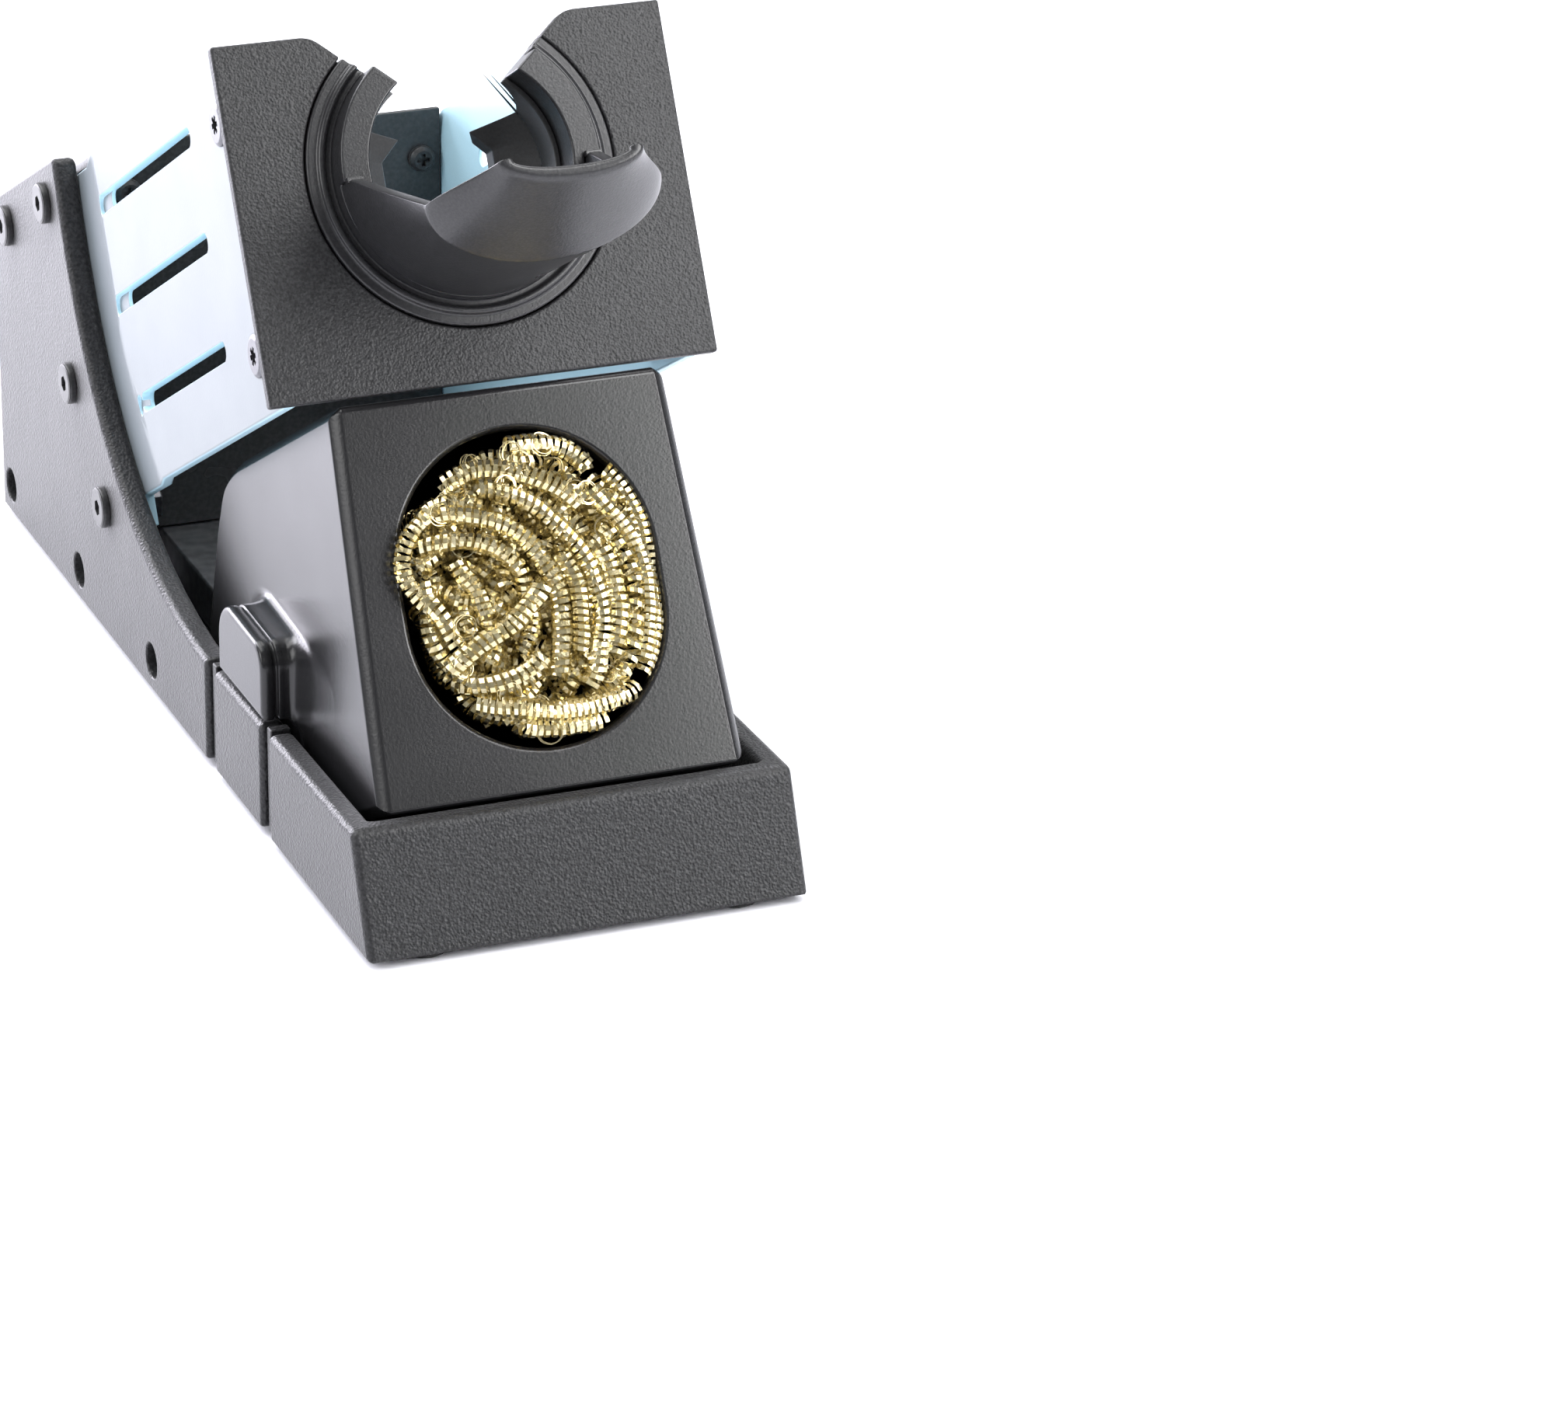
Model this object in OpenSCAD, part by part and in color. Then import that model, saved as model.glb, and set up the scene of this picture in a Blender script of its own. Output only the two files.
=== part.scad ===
// Soldering iron stand: a weighted tub with swept-up side walls carries two slotted heat
// guards and a sloping front plate. The plate holds a clip-in iron holder with a spoon-shaped
// rest, and a drawer-like tray with brass wool slides out below it. Millimetres, +Z up.
// The front faces -Y, +X is the right side, and the origin is under the middle of the feet.

/* [Base] */
// Width across the two side walls
base_w = 86; // [82:0.5:92]
// Length from the front bottom edge to the back
base_d = 243; // [240:1:250]
// Thickness of the side walls
wall = 5; // [4:0.5:6]
// Thickness of the floor
floor_t = 4; // [3:0.5:5]
// Height of the front lip above the underside
lip_h = 22.4; // [20:0.1:23]
// How far the underside stands above the table
foot_drop = 1.5; // [1:0.1:3]
// Radius of a rubber foot
foot_r = 4.7; // [4:0.1:6]

/* [Sloping face] */
// Lean of the tray face and front plate, back from vertical
face_tilt = 28.5; // [26:0.5:31]
// Distance of the face's lower edge behind the front bottom edge
face_y = 13.7; // [13:0.1:15]
// Height of the face's lower edge above the underside
face_z = 23.1; // [22.8:0.1:24]

/* [Wool tray] */
// Width of the tray at its lower edge
tray_w_low = 71.8; // [68:0.2:73]
// Width of the tray at its upper edge
tray_w_top = 65.4; // [62:0.2:68]
// Height of the tray face, measured up the slope
tray_v = 74.8; // [72:0.1:75]
// Half the width of the oval wool opening
mouth_r = 24.6; // [22:0.1:26]
// How far the two ends of the oval are apart
mouth_gap = 10; // [6:0.5:12]
// Height of the middle of the opening, measured up the slope
mouth_v = 37; // [35:0.5:39]

/* [Front plate] */
// Width of the plate
plate_w = 87.6; // [84:0.2:89]
// Lower edge of the plate, measured up the slope
plate_v0 = 76; // [75.5:0.1:77]
// Upper edge of the plate, measured up the slope
plate_v1 = 143.2; // [140:0.2:145]
// Thickness of the plate
plate_t = 2.5; // [2:0.1:3]
// Radius of the hole that takes the holder
hole_r = 30; // [29:0.1:31]

/* [Iron holder] */
// Inner radius of the raised collar
collar_ri = 19.5; // [18:0.5:21]
// Outer radius of the raised collar
collar_ro = 25; // [24:0.5:26]
// How far the collar stands out of the plate
collar_h = 7; // [5:0.5:9]
// Reach of the spoon-shaped rest, out from the plate
scoop_len = 62; // [50:1:65]

/* [Heat guard] */
// Thickness of a guard
guard_t = 2.5; // [2:0.1:3]
// Outer face of a guard, from the middle plane
guard_x = 40.5; // [40.5:0.1:41]
// Width of a cooling slot
slot_w = 3.8; // [3:0.1:5]

/* [Hidden] */

$fn = 72;
half_w = base_w / 2;
inner_x = half_w - wall;
guard_inner = inner_x - guard_t;
gap = 0.3;
eps = 0.01;
far = 300;

// Colours
c_base = [0.16, 0.16, 0.17];
c_gloss = [0.09, 0.09, 0.09];
c_guard = [0.72, 0.85, 0.92];
c_steel = [0.72, 0.72, 0.73];
c_black = [0.10, 0.10, 0.10];
c_brass = [0.80, 0.66, 0.36];
c_rubber = [0.05, 0.05, 0.05];

// Side outline of the base, as distance back from the front edge and height
lip_back = 9.2;
wall_dip = [96, 21];
wall_bend = [170, 22];
wall_peak = [194.8, 92];
back_h = 67.8;
sweep_steps = 14;
back_wall = 5;
lip_t = 4;

// Slits beside the springy tongue of each side wall
slit_y = [60.85, 95];
slit_w = 5;
rib_w = 2.4;
rib_inset = 1;

// Plain holes along the lower edge of each side wall
side_hole_y = [134.4, 185.2, 235.9];
side_hole_z = 6.3;
side_hole_r = 3.65;

// Screws through the side walls, as distance back and height
guard_screw_at = [[201, 80.6], [186, 47], [164.2, 28.1]];
cover_ear_at = [230.3, 66.2];
wall_screw_at = concat(guard_screw_at, [cover_ear_at]);
screw_r = 2;
screw_clear = 2.2;
head_r = 4.25;
nut_af = 7;
nut_t = 3;

// Posts behind the rear cover
post_x = [27, 35];
post_y = [185.4, 192];
post_top = 90.2;
cover_y = 182.6;
cover_t = 2.5;
cover_screw_x = 31;
cover_screw_z = [30, 87.5];
cover_wing_y = 216;
cover_ear_size = [12, 7];
nut_room = [31, 41.8, 52.2];

// Ballast
ballast_x = 26;
ballast_y = [136, 232];
ballast_t = 10;
ballast_screw_x = 18;
ballast_screw_y = [146, 222];

// Feet
foot_at = [30.5, 5.6];
foot_recess = 0.6;
foot_t = foot_drop + foot_recess;

// Guard, in the sloping frame: v runs up the slope and h stands out of it
guard_v = [76, 147.6];
guard_top = [[142.7, 1], [142.7, -3], [145.3, -15.7], [146.6, -38], [147.5, -62.8], [147.3, -86.2],
    [146.4, -113.5], [143.5, -120.5], [143.5, -far]];
ramp_h = -104.5;
ramp_run = 11.5;
ramp_swing = 12;
ramp_bend_v = 108;
flange_end = -150;
flange_tab = [[70, -119], [78, -119], [78, -140], [70, -138]];
slot_v = [92, 112.8, 133];
slot_h = [-38, -100];
pocket = 7;
pocket_skin = 1.4;
plate_screw_v = [87.5, 131];
plate_screw_h = -13;
flange_t = 1.5;
flange_depth = 22;

// Holder, about the middle of the plate's round hole
hole_v = plate_v0 + 40;
notch = [[10, 14.5], [19.4, 22.6], [26, 28.3], [26, 60]];
ring_r = hole_r - gap;
bead_r = 27;
ledge = [27.4, 33, 1.5];
sleeve_len = 17;
sleeve_r = 13.2;
sleeve_wide = 8;
sleeve_neck = 13;
sleeve_t = 1.5;
sleeve_top = [[20.2, 4], [11.7, -5], [6.4, -18], [far, -18], [far, 4]];
scoop_t = 2.6;
scoop_bend = 41;

// Tray
tray_v0 = -0.6;
tray_side = [[tray_v0, 0], [tray_v, 0], [tray_v, -70], [72.6, -79], [64.4, -88.2], [39, -109],
    [0.3, -39]];
tray_t = 3;
tray_seam = -88;
wool_skin = 0.8;
wool_r = mouth_r - 0.4;
wool_back = -44;
wool_bulge = [[wool_r, 0.4], [wool_r + 2.4, 3], [wool_r - 2.6, 7], [wool_r - 11.6, 10]];
wool_bulge_inner = [[wool_r - 0.8, 0.4], [wool_r + 1.1, 3], [wool_r - 3.4, 6.2], [wool_r - 12.4, 9.2]];
ear_y = [61.5, 88.9];
ear_top = 38;
ear_foot = 22.9;

function bezier(a, b, c, t) = (1 - t) * (1 - t) * a + 2 * t * (1 - t) * b + t * t * c;
function top_z(y) = back_h + (base_d - y) * (wall_peak[1] - back_h) / (base_d - wall_peak[0]);
function mix(a, b, t) = a + (b - a) * t;
function smooth(t) = t * t * (3 - 2 * t);
function tray_half(v) = mix(tray_w_low, tray_w_top, v / tray_v) / 2;

// Puts children that are drawn from the front bottom edge in place
module base_frame() {
    translate([0, -base_d / 2, foot_drop]) children();
}

// Local X is across, local Y runs up the sloping face and local Z stands out of it
module face_frame() {
    base_frame() translate([0, face_y, face_z]) rotate([90 - face_tilt, 0, 0]) children();
}

// Draws a side outline as a slab between two distances from the middle plane
module slab(x0, x1) {
    translate([x0, 0, 0]) rotate([90, 0, 90]) linear_extrude(x1 - x0) children();
}

module both_sides() {
    children();
    mirror([1, 0, 0]) children();
}

module box(lo, hi) {
    translate(lo) cube(hi - lo);
}

// A closed skin through rings of equal length. A ring runs along one side of a strip and
// back along the other, so its two ends are capped with a row of quads.
module loft(rings) {
    n = len(rings[0]);
    m = len(rings);
    top = (m - 1) * n;
    skin = [for (i = [0:m - 2]) for (j = [0:n - 1])
        [i * n + j, (i + 1) * n + j, (i + 1) * n + (j + 1) % n, i * n + (j + 1) % n]];
    cap_low = [for (j = [0:n / 2 - 2]) [j, j + 1, n - 2 - j, n - 1 - j]];
    cap_high = [for (q = cap_low) [top + q[3], top + q[2], top + q[1], top + q[0]]];
    polyhedron([for (r = rings) for (p = r) p], concat(skin, cap_low, cap_high), 4);
}

// ---- Base ----

module base_outline() {
    polygon(concat(
        [[0, 0], [lip_back, lip_h]],
        [for (i = [0:sweep_steps]) bezier(wall_dip, wall_bend, wall_peak, i / sweep_steps)],
        [[base_d, back_h], [base_d, 0]]));
}

module base_cavity_outline() {
    polygon([[lip_t + 2.5, floor_t], [lip_back + lip_t + 1.4, lip_h + 5], [lip_back + lip_t + 1.4, far],
        [base_d - back_wall, far], [base_d - back_wall, floor_t]]);
}

module side_slits() {
    for (y = slit_y) {
        box([inner_x - 1, y - slit_w / 2, -1], [half_w + 1, y - rib_w / 2, lip_h + 8]);
        box([inner_x - 1, y + rib_w / 2, -1], [half_w + 1, y + slit_w / 2, lip_h + 8]);
        box([half_w - rib_inset, y - slit_w / 2, -1], [half_w + 1, y + slit_w / 2, lip_h + 8]);
    }
}

module cover_posts() {
    both_sides() box([post_x[0], post_y[0], 1], [post_x[1], post_y[1], post_top]);
}

// Space in the posts and the cover for the screws and nuts that come through the walls
module nut_space() {
    box([nut_room[0], cover_y - 1, nut_room[1]], [inner_x - 1, post_y[1] + 1, nut_room[2]]);
}

module base_shell() color(c_base) base_frame() difference() {
    union() {
        difference() {
            slab(-half_w, half_w) base_outline();
            slab(-inner_x, inner_x) base_cavity_outline();
        }
        difference() {
            cover_posts();
            both_sides() nut_space();
        }
    }
    both_sides() side_slits();
    both_sides() for (y = side_hole_y) {
        translate([inner_x - eps, y, side_hole_z]) rotate([0, 90, 0]) cylinder(wall + 1, r = side_hole_r);
    }
    both_sides() for (p = wall_screw_at) {
        translate([inner_x - 1, p[0], p[1]]) rotate([0, 90, 0]) cylinder(wall + 2, r = screw_clear);
    }
    for (x = [-cover_screw_x, cover_screw_x]) for (z = cover_screw_z) {
        translate([x, post_y[0] - 1, z]) rotate([-90, 0, 0]) cylinder(9, r = 1.5);
    }
    for (x = [-ballast_screw_x, ballast_screw_x]) for (y = ballast_screw_y) {
        translate([x, y, -1]) cylinder(floor_t + 2, r = 1.5);
    }
    for (x = [-foot_at[0], foot_at[0]]) for (y = [foot_at[1], base_d - foot_at[1]]) {
        translate([x, y, -1]) cylinder(1 + foot_recess, r = foot_r);
    }
}

module ballast_plate() color(c_steel) base_frame() difference() {
    box([-ballast_x, ballast_y[0], floor_t], [ballast_x, ballast_y[1], floor_t + ballast_t]);
    for (x = [-ballast_screw_x, ballast_screw_x]) for (y = ballast_screw_y) {
        translate([x, y, 0]) cylinder(far, r = screw_clear);
    }
}

module ballast_screws() color(c_steel) base_frame() {
    for (x = [-ballast_screw_x, ballast_screw_x]) for (y = ballast_screw_y) {
        translate([x, y, 0.6]) cylinder(floor_t + ballast_t - 0.6, r = 1.5);
        translate([x, y, floor_t + ballast_t]) cross_head(4, 2.4);
    }
}

// A low round head with a cross recess, standing on its underside
module cross_head(r, t) {
    difference() {
        union() {
            cylinder(t * 0.6, r = r);
            translate([0, 0, t * 0.6]) cylinder(t * 0.4, r1 = r, r2 = r * 0.72);
        }
        for (a = [0, 90]) rotate([0, 0, a]) translate([-r * 0.5, -0.45, t * 0.4]) cube([r, 0.9, t]);
    }
}

module foot(sx, y) color(c_rubber) base_frame() {
    translate([sx * foot_at[0], y, -foot_drop]) cylinder(0.6, r1 = foot_r - 0.9, r2 = foot_r - 0.3);
    translate([sx * foot_at[0], y, 0.6 - foot_drop]) cylinder(foot_t - 0.6, r = foot_r - 0.3);
}

module foot_front_left() foot(-1, foot_at[1]);
module foot_front_right() foot(1, foot_at[1]);
module foot_rear_left() foot(-1, base_d - foot_at[1]);
module foot_rear_right() foot(1, base_d - foot_at[1]);

// ---- Rear cover ----

module cover_outline() {
    back = base_d - back_wall - gap;
    drop = cover_t * 1.15;
    polygon([[cover_y, floor_t + ballast_t + gap], [cover_y, top_z(cover_y)], [back, top_z(back)],
        [back, top_z(back) - drop], [cover_y + cover_t, top_z(cover_y + cover_t) - drop],
        [cover_y + cover_t, floor_t + ballast_t + gap]]);
}

module cover_ear() {
    back = cover_ear_at[0] + cover_ear_size[0] / 2;
    box([guard_inner - gap, back - cover_ear_size[0], cover_ear_at[1] - cover_ear_size[1]],
        [inner_x - gap, back, top_z(back) - 1]);
}

module rear_cover() color(c_base) base_frame() difference() {
    union() {
        slab(-guard_inner + gap, guard_inner - gap) cover_outline();
        slab(-inner_x + gap, inner_x - gap) intersection() {
            cover_outline();
            translate([cover_wing_y, 0]) square(far);
        }
        both_sides() cover_ear();
    }
    both_sides() nut_space();
    both_sides() translate([0, cover_ear_at[0], cover_ear_at[1]]) rotate([0, 90, 0]) cylinder(far, r = screw_clear);
    for (x = [-cover_screw_x, cover_screw_x]) for (z = cover_screw_z) {
        translate([x, cover_y - 1, z]) rotate([-90, 0, 0]) cylinder(cover_t + 2, r = screw_clear);
    }
}

module cover_screws() color(c_black) base_frame() {
    for (x = [-cover_screw_x, cover_screw_x]) for (z = cover_screw_z) {
        translate([x, cover_y, z]) rotate([90, 0, 0]) cross_head(2.7, 1.8);
        translate([x, cover_y, z]) rotate([-90, 0, 0]) cylinder(8, r = 1.5);
    }
}

// ---- Heat guards ----

// The step where a guard tucks in behind the base wall swings forward near its lower edge
function swing(v) = v > ramp_bend_v ? 0
    : ramp_swing * pow((ramp_bend_v - v) / (ramp_bend_v - guard_v[0]), 1.4);

function guard_ring(v) = let (s = swing(v), xo = guard_x, xi = guard_x - guard_t) [
    [xo, v, -plate_t - 0.2], [xo, v, ramp_h + s], [inner_x, v, ramp_h - ramp_run + s],
    [inner_x, v, flange_end + s], [guard_inner, v, flange_end + s],
    [guard_inner, v, ramp_h - ramp_run + s], [xi, v, ramp_h + s], [xi, v, -plate_t - 0.2]];

guard_levels = concat([for (i = [0:8]) mix(guard_v[0], ramp_bend_v, i / 8)], [guard_v[1]]);

module slot_shape(v, h0, h1) {
    hull() {
        translate([v, h0]) circle(r = slot_w / 2, $fn = 32);
        translate([v, h1]) circle(r = slot_w / 2, $fn = 32);
    }
}

module guard() color(c_guard) face_frame() difference() {
    union() {
        loft([for (v = guard_levels) guard_ring(v)]);
        slab(inner_x - guard_t, inner_x) polygon(flange_tab);
    }
    slab(guard_x - guard_t - 6, guard_x + 1) for (i = [0:2]) {
        slot_shape(slot_v[i], slot_h[0] + slot_w / 2, slot_h[1] + swing(slot_v[i]) * 0.8);
    }
    slab(guard_x - pocket_skin - 0.3, guard_x + 1) for (i = [0:2]) {
        slot_shape(slot_v[i], slot_h[1], slot_h[1] - pocket + swing(slot_v[i]) * 0.8);
    }
    slab(0, half_w) polygon(concat(guard_top, [[far, -far], [far, 1]]));
    for (p = guard_screw_at) drill_wall(p);
    for (v = plate_screw_v) {
        translate([0, v, plate_screw_h]) rotate([0, 90, 0]) cylinder(far, r = screw_clear);
    }
}

// Bores a screw hole whose place is given in the base's own side view
module drill_wall(p) {
    rotate([face_tilt - 90, 0, 0]) translate([0, p[0] - face_y, p[1] - face_z])
        rotate([0, 90, 0]) cylinder(far, r = screw_clear);
}

module guard_right() guard();
module guard_left() mirror([1, 0, 0]) guard();

module socket_head() {
    difference() {
        union() {
            cylinder(1.3, r = head_r);
            translate([0, 0, 1.3]) cylinder(0.4, r1 = head_r, r2 = head_r - 0.4);
        }
        translate([0, 0, 0.5]) cylinder(4, r = 1.7, $fn = 6);
    }
}

module wall_screws() color(c_black) base_frame() both_sides() {
    for (p = wall_screw_at) translate([half_w, p[0], p[1]]) rotate([0, 90, 0]) {
        socket_head();
        translate([0, 0, -wall - guard_t - nut_t - 1]) cylinder(wall + guard_t + nut_t + 1, r = screw_r);
    }
}

module hex_nut() {
    difference() {
        cylinder(nut_t, r = nut_af / 2 / cos(30), $fn = 6);
        translate([0, 0, -1]) cylinder(nut_t + 2, r = screw_r);
    }
}

module wall_nuts() color(c_steel) base_frame() both_sides() {
    for (p = wall_screw_at) translate([inner_x - guard_t - nut_t - gap - 0.1, p[0], p[1]]) {
        rotate([0, 90, 0]) hex_nut();
    }
}

// ---- Front plate ----

module plate_outline() {
    difference() {
        translate([-plate_w / 2, plate_v0]) square([plate_w, plate_v1 - plate_v0]);
        translate([0, hole_v]) circle(r = hole_r);
        translate([0, hole_v]) notch_shape();
    }
}

module notch_shape() {
    polygon(concat([for (p = notch) p], [for (i = [3:-1:0]) [-notch[i][0], notch[i][1]]]));
}

module plate_flange() {
    x1 = guard_x - guard_t - 0.1;
    box([x1 - flange_t, plate_v0 + 4, -flange_depth], [x1, plate_v1 - 5, -plate_t + eps]);
}

// Rim behind the plate's hole that the holder's disc sits against
module hole_ledge() {
    translate([0, hole_v, -plate_t - ledge[2]]) difference() {
        cylinder(ledge[2] + eps, r = ledge[1]);
        translate([0, 0, ledge[2] - gap]) cylinder(ledge[2], r = hole_r);
        translate([0, 0, -1]) cylinder(ledge[2] + 2, r = ledge[0]);
        translate([0, 0, -1]) linear_extrude(ledge[2] + 2) notch_shape();
    }
}

module front_plate() color(c_base) face_frame() difference() {
    union() {
        translate([0, 0, -plate_t]) linear_extrude(plate_t) plate_outline();
        hole_ledge();
        both_sides() plate_flange();
    }
    both_sides() for (v = plate_screw_v) {
        translate([0, v, plate_screw_h]) rotate([0, 90, 0]) cylinder(far, r = screw_clear);
    }
}

module star_head() {
    difference() {
        union() {
            cylinder(0.6, r = head_r - 0.1);
            translate([0, 0, 0.6]) cylinder(0.5, r1 = head_r - 0.1, r2 = head_r * 0.8);
        }
        for (a = [0, 60, 120]) rotate([0, 0, a]) translate([-1.8, -0.5, 0.3]) cube([3.6, 1, 3]);
    }
}

module plate_screws() color(c_steel) face_frame() both_sides() {
    for (v = plate_screw_v) translate([guard_x, v, plate_screw_h]) rotate([0, 90, 0]) {
        star_head();
        translate([0, 0, -9]) cylinder(9, r = screw_r);
    }
}

module plate_nuts() color(c_steel) face_frame() both_sides() {
    x1 = guard_x - guard_t - 0.1 - flange_t;
    for (v = plate_screw_v) translate([x1 - nut_t, v, plate_screw_h]) rotate([0, 90, 0]) hex_nut();
}

// ---- Iron holder ----

module hole_frame() {
    face_frame() translate([0, hole_v, 0]) children();
}

module holder_cut() {
    translate([0, 0, -60]) linear_extrude(200) notch_shape();
}

module holder_ring() color(c_base) hole_frame() difference() {
    union() {
        translate([0, 0, -plate_t]) cylinder(plate_t + 0.4, r = ring_r);
        rotate_extrude() translate([bead_r - 0.9, 0]) polygon([[0, 0], [0.4, 1.4], [1.4, 1.4], [1.8, 0]]);
        cylinder(collar_h, r = collar_ro);
    }
    translate([0, 0, -60]) cylinder(200, r = collar_ri);
    holder_cut();
    translate([0, 0, collar_h - 3]) rest_seat();
}

// Room for the end of the rest in the lower half of the collar
module rest_seat() {
    intersection() {
        difference() {
            cylinder(10, r = collar_ro + 1);
            translate([0, 0, -1]) cylinder(12, r = collar_ro - scoop_t - 0.6);
        }
        translate([-40, -80, 0]) cube([80, 80 - 1.4, 10]);
    }
}

// Half width, lowest point and rim height of the rest at a distance out from the plate
function scoop_a(h) = h < scoop_bend ? mix(24.9, 22.4, h / scoop_bend)
    : mix(22.4, 13.4, smooth((h - scoop_bend) / (scoop_len - scoop_bend)) * 0.5
        + 0.5 * (h - scoop_bend) / (scoop_len - scoop_bend));
function scoop_low(h) = h < scoop_bend ? mix(-24.9, -24.6, h / scoop_bend)
    : mix(-24.6, -13.8, (h - scoop_bend) / (scoop_len - scoop_bend));
function scoop_rim(h) = h < scoop_bend ? mix(-1.7, -13, max(0, h - 9) / (scoop_bend - 9))
    : mix(-13, -9.5, (h - scoop_bend) / (scoop_len - scoop_bend));

function scoop_line(h, t, n) = [for (i = [0:n]) let (a = 180 * i / n)
    [-(scoop_a(h) - t) * cos(a), scoop_rim(h) - (scoop_rim(h) - scoop_low(h) - t) * sin(a), h]];

function reversed(l) = [for (i = [len(l) - 1:-1:0]) l[i]];

scoop_stations = concat([collar_h - 2.9, 9, 17, 25, 33, 38, scoop_bend],
    [for (i = [1:6]) scoop_bend + (scoop_len - scoop_bend) * i / 6]);

module holder_scoop() color(c_base) hole_frame() {
    loft([for (h = scoop_stations) concat(scoop_line(h, 0, 24), reversed(scoop_line(h, scoop_t, 24)))]);
}

// A round tube that starts inside the collar and narrows to an octagonal one at its rear
module sleeve_form(inset, over) {
    wide_r = collar_ri - 0.1 - inset * 0.7;
    rotate([0, 0, 22.5]) {
        translate([0, 0, -sleeve_len - over]) cylinder(sleeve_len + over - sleeve_neck + eps,
            r = sleeve_r - inset, $fn = 8);
        hull() {
            translate([0, 0, -sleeve_neck]) cylinder(eps, r = sleeve_r - inset, $fn = 8);
            translate([0, 0, -sleeve_wide]) cylinder(eps, r = wide_r);
        }
        translate([0, 0, -sleeve_wide]) cylinder(sleeve_wide + over, r = wide_r);
    }
}

module holder_sleeve() color(c_black) hole_frame() difference() {
    sleeve_form(0, 0);
    sleeve_form(sleeve_t, 0.1);
    holder_cut();
    slab(-collar_ro, collar_ro) polygon(sleeve_top);
}

// ---- Wool tray ----

module tray_section(inset) {
    offset(delta = -inset) polygon([[-tray_half(tray_v0), tray_v0], [tray_half(tray_v0), tray_v0],
        [tray_half(tray_v), tray_v], [-tray_half(tray_v), tray_v]]);
}

module tray_outer() {
    intersection() {
        slab(-half_w, half_w) polygon(tray_side);
        hull() {
            translate([0, 0, -120]) linear_extrude(118.2) tray_section(0);
            translate([0, 0, -eps]) linear_extrude(eps) tray_section(1.8);
        }
    }
}

module tray_cavity() {
    intersection() {
        slab(-half_w, half_w) offset(delta = -tray_t) polygon(tray_side);
        translate([0, 0, -120]) linear_extrude(120) tray_section(tray_t);
    }
}

module oval(r) {
    for (s = [-1, 1]) translate([0, mouth_v + s * mouth_gap / 2]) circle(r = r);
    translate([-r, mouth_v - mouth_gap / 2]) square([2 * r, mouth_gap]);
}

module ear_outline(grow) {
    hull() {
        translate([ear_y[0] + 5, ear_top - 6 + grow]) circle(r = 5 + grow, $fn = 32);
        translate([ear_y[1] - 7.5, ear_top - 7.5 + grow]) circle(r = 7.5 + grow, $fn = 32);
        translate([ear_y[0] - grow, ear_foot - grow * 1.6]) square([ear_y[1] - ear_y[0] + 2 * grow, 1]);
    }
}

// Side tab that sits over the wall's tongue, drawn in the base frame
module ear() {
    slab(inner_x - 0.2, half_w) ear_outline(0);
    hull() {
        slab(inner_x - 0.2, inner_x) ear_outline(0);
        slab(tray_half(tray_v) - 0.5, tray_half(tray_v)) ear_outline(5);
    }
}

module tray_body() color(c_gloss) {
    face_frame() difference() {
        intersection() {
            tray_outer();
            translate([-50, -10, tray_seam]) cube([100, 100, 100]);
        }
        tray_cavity();
        translate([0, 0, -10]) linear_extrude(20) oval(mouth_r);
    }
    base_frame() both_sides() difference() {
        ear();
        cube([tray_half(tray_v) - 0.4, far, far]);
    }
}

module tray_back() color(c_gloss) face_frame() difference() {
    intersection() {
        tray_outer();
        translate([-50, -10, tray_seam - 100.1]) cube([100, 100, 100]);
    }
    tray_cavity();
}

// Wool, as a skin with about the mass of the loose ribbon, open at the back
module wool_form(r, back, discs) {
    translate([0, 0, back]) linear_extrude(1 - back) oval(r);
    hull() for (d = discs) translate([0, 0, d[1]]) linear_extrude(0.5) hull() {
        for (s = [-1, 1]) translate([0, mouth_v + s * mouth_gap / 2]) circle(r = d[0], $fn = 32);
    }
}

module brass_wool() color(c_brass) face_frame() difference() {
    wool_form(wool_r, wool_back, wool_bulge);
    wool_form(wool_r - wool_skin, wool_back - 1, wool_bulge_inner);
}

base_shell();
ballast_plate();
ballast_screws();
foot_front_left();
foot_front_right();
foot_rear_left();
foot_rear_right();
rear_cover();
cover_screws();
guard_left();
guard_right();
wall_screws();
wall_nuts();
front_plate();
plate_screws();
plate_nuts();
holder_ring();
holder_scoop();
holder_sleeve();
tray_body();
tray_back();
brass_wool();
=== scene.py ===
import math
import random

import bmesh
import bpy
from mathutils import Matrix, Vector


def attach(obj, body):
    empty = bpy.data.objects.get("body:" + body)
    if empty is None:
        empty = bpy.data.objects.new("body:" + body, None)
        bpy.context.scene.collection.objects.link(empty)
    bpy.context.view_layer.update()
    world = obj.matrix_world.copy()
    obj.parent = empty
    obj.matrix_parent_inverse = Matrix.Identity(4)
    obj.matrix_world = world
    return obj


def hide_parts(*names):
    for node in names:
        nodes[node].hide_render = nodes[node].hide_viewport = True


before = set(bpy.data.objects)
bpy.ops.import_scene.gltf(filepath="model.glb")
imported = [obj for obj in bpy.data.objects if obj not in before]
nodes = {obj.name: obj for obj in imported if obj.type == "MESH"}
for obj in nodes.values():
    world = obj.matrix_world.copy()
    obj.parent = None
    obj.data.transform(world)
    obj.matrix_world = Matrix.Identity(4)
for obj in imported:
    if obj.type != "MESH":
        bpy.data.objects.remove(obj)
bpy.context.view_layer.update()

# ---------------------------------------------------------------- frames (millimetres in, metres out)
MM = 0.001
BASE_HALF_D = 121.5                                  # half the base's length
FOOT_DROP = 1.5                                      # the underside's height over the table
FACE_Y, FACE_Z = 13.7, 23.1                          # the sloping face's lower edge
HOLE_V = 116.0                                       # the holder's middle, up the sloping face
TILT = math.radians(28.5)
UP = Vector((0, math.sin(TILT), math.cos(TILT)))      # up the sloping face
OUT = Vector((0, -math.cos(TILT), math.sin(TILT)))    # out of the sloping face


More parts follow.
